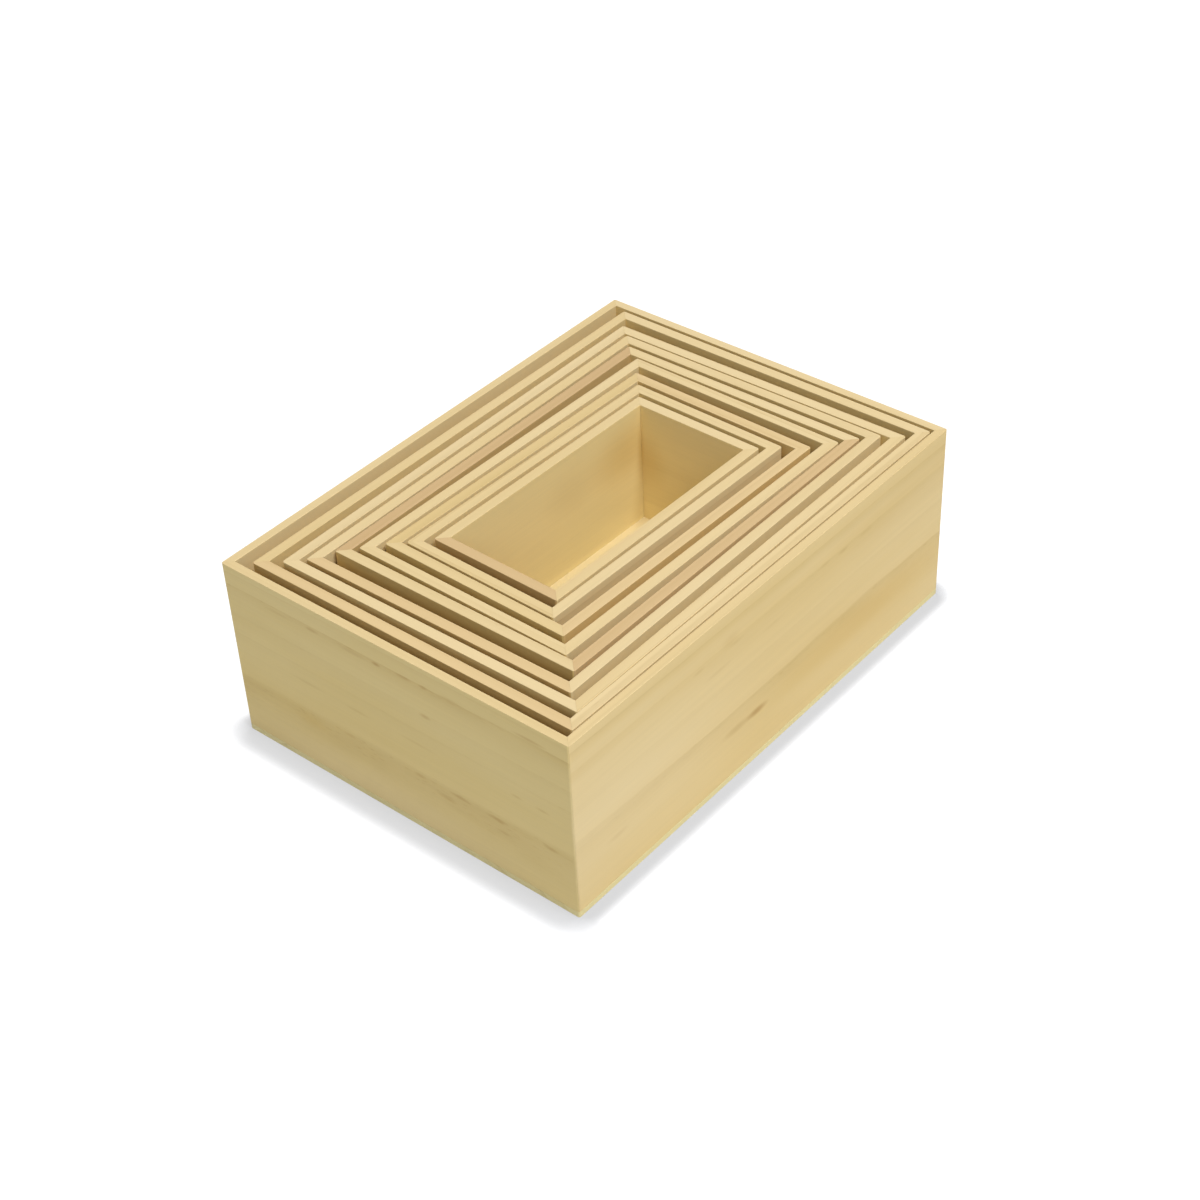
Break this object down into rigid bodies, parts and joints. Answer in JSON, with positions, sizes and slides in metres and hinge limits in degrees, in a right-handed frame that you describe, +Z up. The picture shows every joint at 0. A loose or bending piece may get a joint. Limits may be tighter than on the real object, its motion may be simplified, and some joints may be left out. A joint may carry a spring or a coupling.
{
  "type": "nest of wooden boxes",
  "caption": "Open rectangular boxes of plain pale wood with mitred walls on thin bottoms, nested one in another with level rims; each inner box lifts straight out.",
  "frame": {"origin": "under the middle of the largest box, on the plane it stands on", "axes": "+X along the boxes' length, +Y across them towards the back walls, +Z up"},
  "size_m": [0.31, 0.226, 0.11],
  "materials": {
    "pale_wood": "bare, sanded smooth",
    "rosy_wood": "bare, sanded smooth",
    "bottom_board": "bare, sanded smooth"
  },
  "bodies": {
    "box_1": {"box_1_bottom": "bottom_board", "box_1_front_wall": "pale_wood", "box_1_back_wall": "pale_wood", "box_1_left_wall": "pale_wood", "box_1_right_wall": "pale_wood"},
    "box_2": {"box_2_bottom": "bottom_board", "box_2_front_wall": "pale_wood", "box_2_back_wall": "pale_wood", "box_2_left_wall": "rosy_wood", "box_2_right_wall": "pale_wood"},
    "box_3": {"box_3_bottom": "bottom_board", "box_3_front_wall": "pale_wood", "box_3_back_wall": "pale_wood", "box_3_left_wall": "pale_wood", "box_3_right_wall": "pale_wood"},
    "box_4": {"box_4_bottom": "bottom_board", "box_4_front_wall": "pale_wood", "box_4_back_wall": "pale_wood", "box_4_left_wall": "rosy_wood", "box_4_right_wall": "pale_wood"},
    "box_5": {"box_5_bottom": "bottom_board", "box_5_front_wall": "rosy_wood", "box_5_back_wall": "rosy_wood", "box_5_left_wall": "pale_wood", "box_5_right_wall": "pale_wood"},
    "box_6": {"box_6_bottom": "bottom_board", "box_6_front_wall": "pale_wood", "box_6_back_wall": "pale_wood", "box_6_left_wall": "pale_wood", "box_6_right_wall": "pale_wood"},
    "box_7": {"box_7_bottom": "bottom_board", "box_7_front_wall": "rosy_wood", "box_7_back_wall": "pale_wood", "box_7_left_wall": "pale_wood", "box_7_right_wall": "rosy_wood"},
    "box_8": {"box_8_bottom": "bottom_board", "box_8_front_wall": "pale_wood", "box_8_back_wall": "pale_wood", "box_8_left_wall": "pale_wood", "box_8_right_wall": "pale_wood"},
    "box_9": {"box_9_bottom": "bottom_board", "box_9_front_wall": "pale_wood", "box_9_back_wall": "pale_wood", "box_9_left_wall": "rosy_wood", "box_9_right_wall": "pale_wood"}
  },
  "joints": [
    {"name": "lift_out_box_2", "type": "slide", "parent": "box_1", "child": "box_2", "axis": [0, 0, 1], "range_m": [0, 0.126]},
    {"name": "lift_out_box_3", "type": "slide", "parent": "box_2", "child": "box_3", "axis": [0, 0, 1], "range_m": [0, 0.122]},
    {"name": "lift_out_box_4", "type": "slide", "parent": "box_3", "child": "box_4", "axis": [0, 0, 1], "range_m": [0, 0.118]},
    {"name": "lift_out_box_5", "type": "slide", "parent": "box_4", "child": "box_5", "axis": [0, 0, 1], "range_m": [0, 0.114]},
    {"name": "lift_out_box_6", "type": "slide", "parent": "box_5", "child": "box_6", "axis": [0, 0, 1], "range_m": [0, 0.111]},
    {"name": "lift_out_box_7", "type": "slide", "parent": "box_6", "child": "box_7", "axis": [0, 0, 1], "range_m": [0, 0.107]},
    {"name": "lift_out_box_8", "type": "slide", "parent": "box_7", "child": "box_8", "axis": [0, 0, 1], "range_m": [0, 0.103]},
    {"name": "lift_out_box_9", "type": "slide", "parent": "box_8", "child": "box_9", "axis": [0, 0, 1], "range_m": [0, 0.099]}
  ]
}
